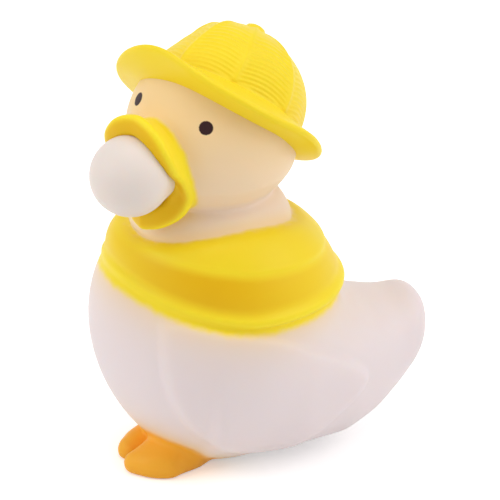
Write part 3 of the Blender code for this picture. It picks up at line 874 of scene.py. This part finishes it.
# %% Ribs and seams with Geometry Nodes
def build_hat_ribs():
    """Pushes the dome's skin out at the seams and in between the ribs, along its own normals."""
    tree = bpy.data.node_groups.new("hat_ribs", "GeometryNodeTree")
    face = tree.interface
    face.new_socket(name="Geometry", in_out="INPUT", socket_type="NodeSocketGeometry")
    sizes = (("Seam Count", SEAM_COUNT), ("Seam Height", 0.00035), ("Seam Width", 0.0009),
             ("Rib Pitch", 0.00105), ("Rib Depth", 0.00011), ("Arch", 0.0012), ("Panel Flattening", 0.0002),
             ("Hat Radius", HAT_RADIUS * MM), ("Dome Base", DOME_BASE * MM), ("Dome Top", 0.0230))
    for label, value in sizes:
        face.new_socket(name=label, in_out="INPUT", socket_type="NodeSocketFloat").default_value = value
    face.new_socket(name="Paint", in_out="INPUT", socket_type="NodeSocketMaterial")
    face.new_socket(name="Geometry", in_out="OUTPUT", socket_type="NodeSocketGeometry")
    start = tree.nodes.new("NodeGroupInput").outputs
    end = tree.nodes.new("NodeGroupOutput")
    place = put(tree, "ShaderNodeSeparateXYZ")
    tree.links.new(tree.nodes.new("GeometryNodeInputPosition").outputs[0], place.inputs[0])
    x, y, z = place.outputs
    squares = maths(tree, "ADD", maths(tree, "MULTIPLY", x, x), maths(tree, "MULTIPLY", y, y))
    radius = maths(tree, "SQRT", squares)
    turn = maths(tree, "DIVIDE", maths(tree, "ARCTAN2", x, maths(tree, "MULTIPLY", y, -1.0)), 2 * math.pi)
    panel = maths(tree, "ADD", maths(tree, "MULTIPLY", turn, start["Seam Count"]), 8.5)
    off = maths(tree, "SUBTRACT", maths(tree, "FRACT", panel), 0.5)
    width = maths(tree, "DIVIDE", maths(tree, "MULTIPLY", radius, 2 * math.pi), start["Seam Count"])
    beside = maths(tree, "MULTIPLY", maths(tree, "ABSOLUTE", off), width)
    away = maths(tree, "DIVIDE", beside, start["Seam Width"])
    seam = maths(tree, "EXPONENT", maths(tree, "MULTIPLY", maths(tree, "MULTIPLY", away, away), -1.0))
    middle = maths(tree, "SUBTRACT", maths(tree, "ABSOLUTE", off), 0.5)
    bend = maths(tree, "MULTIPLY", maths(tree, "MULTIPLY", middle, middle), 4.0)
    level = maths(tree, "ADD", z, maths(tree, "MULTIPLY", bend, start["Arch"]))
    rib_number = maths(tree, "DIVIDE", level, start["Rib Pitch"])
    wave = maths(tree, "COSINE", maths(tree, "MULTIPLY", rib_number, 2 * math.pi))
    fade = put(tree, "ShaderNodeMapRange", interpolation_type="SMOOTHSTEP")
    tree.links.new(z, fade.inputs["Value"])
    tree.links.new(start["Dome Top"], fade.inputs["From Min"])
    tree.links.new(maths(tree, "SUBTRACT", start["Dome Top"], 0.006), fade.inputs["From Max"])
    on_dome = maths(tree, "GREATER_THAN", z, start["Dome Base"])
    ribs = maths(tree, "MULTIPLY", maths(tree, "MULTIPLY", wave, start["Rib Depth"]), fade.outputs["Result"])
    ribs = maths(tree, "MULTIPLY", ribs, maths(tree, "SUBTRACT", 1.0, seam))
    lift = maths(tree, "ADD", ribs, maths(tree, "MULTIPLY", seam, start["Seam Height"]))
    flat = maths(tree, "MULTIPLY", maths(tree, "SUBTRACT", 1.0, bend), start["Panel Flattening"])
    flat = maths(tree, "MULTIPLY", flat, maths(tree, "DIVIDE", radius, start["Hat Radius"]))
    lift = maths(tree, "SUBTRACT", lift, flat)
    below_button = maths(tree, "GREATER_THAN", radius, 0.0026)
    lift = maths(tree, "MULTIPLY", maths(tree, "MULTIPLY", lift, on_dome), below_button)
    push = put(tree, "ShaderNodeVectorMath", operation="SCALE")
    tree.links.new(tree.nodes.new("GeometryNodeInputNormal").outputs[0], push.inputs[0])
    tree.links.new(lift, push.inputs["Scale"])
    move = put(tree, "GeometryNodeSetPosition")
    tree.links.new(start["Geometry"], move.inputs["Geometry"])
    tree.links.new(push.outputs[0], move.inputs["Offset"])
    real = put(tree, "GeometryNodeRealizeInstances")
    tree.links.new(move.outputs["Geometry"], real.inputs["Geometry"])
    paint = put(tree, "GeometryNodeSetMaterial")
    tree.links.new(real.outputs["Geometry"], paint.inputs["Geometry"])
    tree.links.new(start["Paint"], paint.inputs["Material"])
    tree.links.new(paint.outputs["Geometry"], end.inputs["Geometry"])
    return tree


def through_nodes(piece, tree, **values):
    """Runs a Geometry Nodes tree on a piece and keeps the result as a plain mesh."""
    step = piece.modifiers.new(tree.name, "NODES")
    step.node_group = tree
    for item in tree.interface.items_tree:
        if item.in_out == "INPUT" and item.name in values:
            step[item.identifier] = values[item.name]
    bpy.context.view_layer.update()
    evaluated = piece.evaluated_get(bpy.context.evaluated_depsgraph_get())
    mesh = bpy.data.meshes.new_from_object(evaluated)
    piece.modifiers.remove(step)
    piece.data = mesh
    mesh.shade_smooth()
    return piece


# %% [markdown]
# ## The hat is bent out of round
# Its brim lifts in front and behind and sags a little on the duck's left, each by a curve over the angle
# round the hat from the front. The dome is flatter towards the right front, by a curve over the height.

# %% Bend curves
brim_lift = curve_through([(-180, 1.6), (-120, 0.4), (-90, 0), (-60, 0.3), (-45, 1.1), (-30, 2.4), (-12, 3.6),
                           (0, 3.5), (10, 2.4), (20, 1.2), (35, 0.4), (50, 0), (75, 0), (90, 0.5), (105, 1.2),
                           (120, 0.9), (150, 1.2), (180, 1.6)])
brim_dip = curve_through([(-180, 0), (10, 0), (35, 0.9), (55, 1.3), (75, 1.1), (95, 0.2), (110, 0), (180, 0)])
dent_depth = curve_through([(7.6, 1.0), (11.1, 1.9), (14.2, 2.7), (17.4, 2.8), (20.3, 1.6), (22.5, 0.3),
                            (26, 0)])
DENT_TURN = -47
CROWN_DIP = 0.7
CROWN_DIP_RADIUS = 6
CROWN_DIP_WIDTH = 2.5

head_frame = Matrix.Translation(Vector(HEAD_CENTRE) * MM) @ Matrix.Rotation(HEAD_TURN, 4, "Z")
hat_frame = head_frame @ Matrix.Rotation(-HAT_LEAN, 4, "Y") @ Matrix.Rotation(-HAT_TILT, 4, "X")


def bent(x, y, z):
    """Where a point of the turned hat goes, in millimetres."""
    around = math.degrees(math.atan2(x, -y))
    radius = math.hypot(x, y)
    out = max(0.0, (radius - HAT_RADIUS) / (BRIM_RADIUS - HAT_RADIUS))
    below_dome = min(max((DOME_BASE - z) / 3.0, 0.0), 1.0)
    up = float(brim_lift(around)) * out ** 1.3 - float(brim_dip(around)) * below_dome
    facing = max(0.0, math.cos(math.radians(around - DENT_TURN))) ** 1.5
    if z <= DOME_BASE - 0.5 or radius <= 0.1:
        return x, y, z + up
    inward = float(dent_depth(z)) * facing * min(radius / 8.0, 1.0) / radius
    up -= CROWN_DIP * facing * math.exp(-((radius - CROWN_DIP_RADIUS) / CROWN_DIP_WIDTH) ** 2)
    return x - x * inward, y - y * inward, z + up


# %% Make the hat
HAT_COLUMNS = 320
hat_points, hat_faces = turned_grid(hat_profile(110), HAT_COLUMNS)
hat = new_piece("hat", hat_points, hat_faces, hat_paint)
through_nodes(hat, build_hat_ribs(), Paint=hat_paint)
for vert in hat.data.vertices:
    vert.co = Vector(bent(*(vert.co / MM))) * MM
hat.data.transform(hat_frame)
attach(hat, "root")
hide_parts("duck_body")
print("hat:", len(hat.data.polygons), "faces")

# %% [markdown]
# ## Bladder
# The bladder is a thin white balloon. It is turned like the hat: a ball in front and a neck that goes back
# into the mouth, where it is hidden.

# %% Bladder
NECK_STATIONS = [(8.05, 20.7), (7.8, 19.8), (7.5, 18.6), (7.2, 17.4), (6.9, 16.0), (6.2, 13.0), (5.8, 9.0),
                 (0, 9.0)]
BALL_END = math.radians(112)


def bladder_profile():
    """(radius, place along the mouth) from the front of the ball to the end of the neck, in millimetres."""
    line = [(0, BUBBLE_REACH + BUBBLE_RADIUS)]
    for i in range(1, 50):
        turn = BALL_END * i / 49
        line.append((BUBBLE_RADIUS * math.sin(turn), BUBBLE_REACH + BUBBLE_RADIUS * math.cos(turn)))
    return line + NECK_STATIONS


def bladder_material():
    material, tree, shader, grain = new_material("bladder_white", 0.4)
    shader.inputs["Base Color"].default_value = BLADDER_WHITE
    shader.inputs["Subsurface Weight"].default_value = 0.2
    shader.inputs["Subsurface Scale"].default_value = 0.003
    return material


bladder_points, bladder_faces = turned_grid(bladder_profile(), 96)
placed = []
for x, y, z in bladder_points:
    placed.append((head_frame @ Vector((x * MM, -z * MM, (-y - BUBBLE_DROP) * MM))) / MM)
bladder = new_piece("bubble_skin", placed, bladder_faces, bladder_material())
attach(bladder, "root")
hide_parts("bubble")
print("bladder:", len(bladder_faces), "faces")

# %% [markdown]
# ## Floor, light and camera
# The photograph is a catalogue picture: white all round and very soft light. The camera is far away with a
# long lens.

# %% Floor and world
def background_rays(tree):
    """1 for what the camera sees straight, in a mirror or through glass, otherwise 0."""
    path = put(tree, "ShaderNodeLightPath")
    mirrored = maths(tree, "MAXIMUM", path.outputs["Is Glossy Ray"], path.outputs["Is Transmission Ray"])
    return maths(tree, "MAXIMUM", path.outputs["Is Camera Ray"], mirrored)


FLOOR_GLOW = 0.4


def white_floor():
    """White to the camera, and still dark enough under the duck to keep its shadow."""
    material = bpy.data.materials.new("white_floor")
    material.use_nodes = True
    tree = material.node_tree
    shader = tree.nodes["Principled BSDF"]
    shader.inputs["Base Color"].default_value = (0.95, 0.95, 0.95, 1)
    shader.inputs["Emission Color"].default_value = (1, 1, 1, 1)
    glow = maths(tree, "MULTIPLY", background_rays(tree), FLOOR_GLOW)
    tree.links.new(glow, shader.inputs["Emission Strength"])
    shader.inputs["Roughness"].default_value = 0.9
    shader.inputs["Specular IOR Level"].default_value = 0.1
    return material


FLOOR_REACH = 3000
floor_corners = [(-FLOOR_REACH, -FLOOR_REACH, 0), (FLOOR_REACH, -FLOOR_REACH, 0),
                 (FLOOR_REACH, FLOOR_REACH, 0), (-FLOOR_REACH, FLOOR_REACH, 0)]
floor = new_piece("floor", floor_corners, [(0, 1, 2, 3)], white_floor())

WORLD_LIGHT = 0.5
world = bpy.data.worlds.new("studio")
bpy.context.scene.world = world
world.use_nodes = True
backdrop = world.node_tree.nodes["Background"]
backdrop.inputs["Color"].default_value = (1, 1, 1, 1)
seen = maths(world.node_tree, "MAXIMUM", background_rays(world.node_tree), WORLD_LIGHT)
world.node_tree.links.new(seen, backdrop.inputs["Strength"])


# %% Lights and camera
def soft_light(name, place, size, power):
    lamp = bpy.data.lights.new(name, "AREA")
    lamp.size = size
    lamp.energy = power
    ob = bpy.data.objects.new(name, lamp)
    ob.location = place
    aim = Vector((0, 0, 0.05)) - Vector(place)
    ob.rotation_euler = aim.to_track_quat("-Z", "Y").to_euler()
    bpy.context.scene.collection.objects.link(ob)
    return ob


soft_light("left", (-0.08, -0.72, 0.50), 0.6, 2.2)
soft_light("right", (0.40, 0.60, 0.50), 0.6, 2.4)
soft_light("top", (0.0, 0.0, 0.95), 0.6, 2.2)

VIEW_TURN = math.radians(68)
VIEW_RISE = math.radians(25)
CAMERA_DISTANCE = 2.5
PIXELS_PER_MM = 4.58
ORIGIN_PIXEL = (215.0, 446.0)
PICTURE = 500
SENSOR = 36.0

right = Vector((math.cos(VIEW_TURN), math.sin(VIEW_TURN), 0))
away = Vector((math.sin(VIEW_TURN) * math.cos(VIEW_RISE), -math.cos(VIEW_TURN) * math.cos(VIEW_RISE),
               math.sin(VIEW_RISE)))
upward = away.cross(right)
aim = right * ((PICTURE / 2 - ORIGIN_PIXEL[0]) / PIXELS_PER_MM * MM)
aim += upward * ((ORIGIN_PIXEL[1] - PICTURE / 2) / PIXELS_PER_MM * MM)
camera_data = bpy.data.cameras.new("camera")
camera_data.sensor_width = SENSOR
camera_data.lens = SENSOR * PIXELS_PER_MM * CAMERA_DISTANCE / MM / PICTURE
camera = bpy.data.objects.new("camera", camera_data)
camera.location = aim + away * CAMERA_DISTANCE
camera.rotation_euler = Matrix((right, upward, away)).transposed().to_euler()
bpy.context.scene.collection.objects.link(camera)
bpy.context.scene.camera = camera
bpy.context.scene.view_settings.view_transform = "Standard"
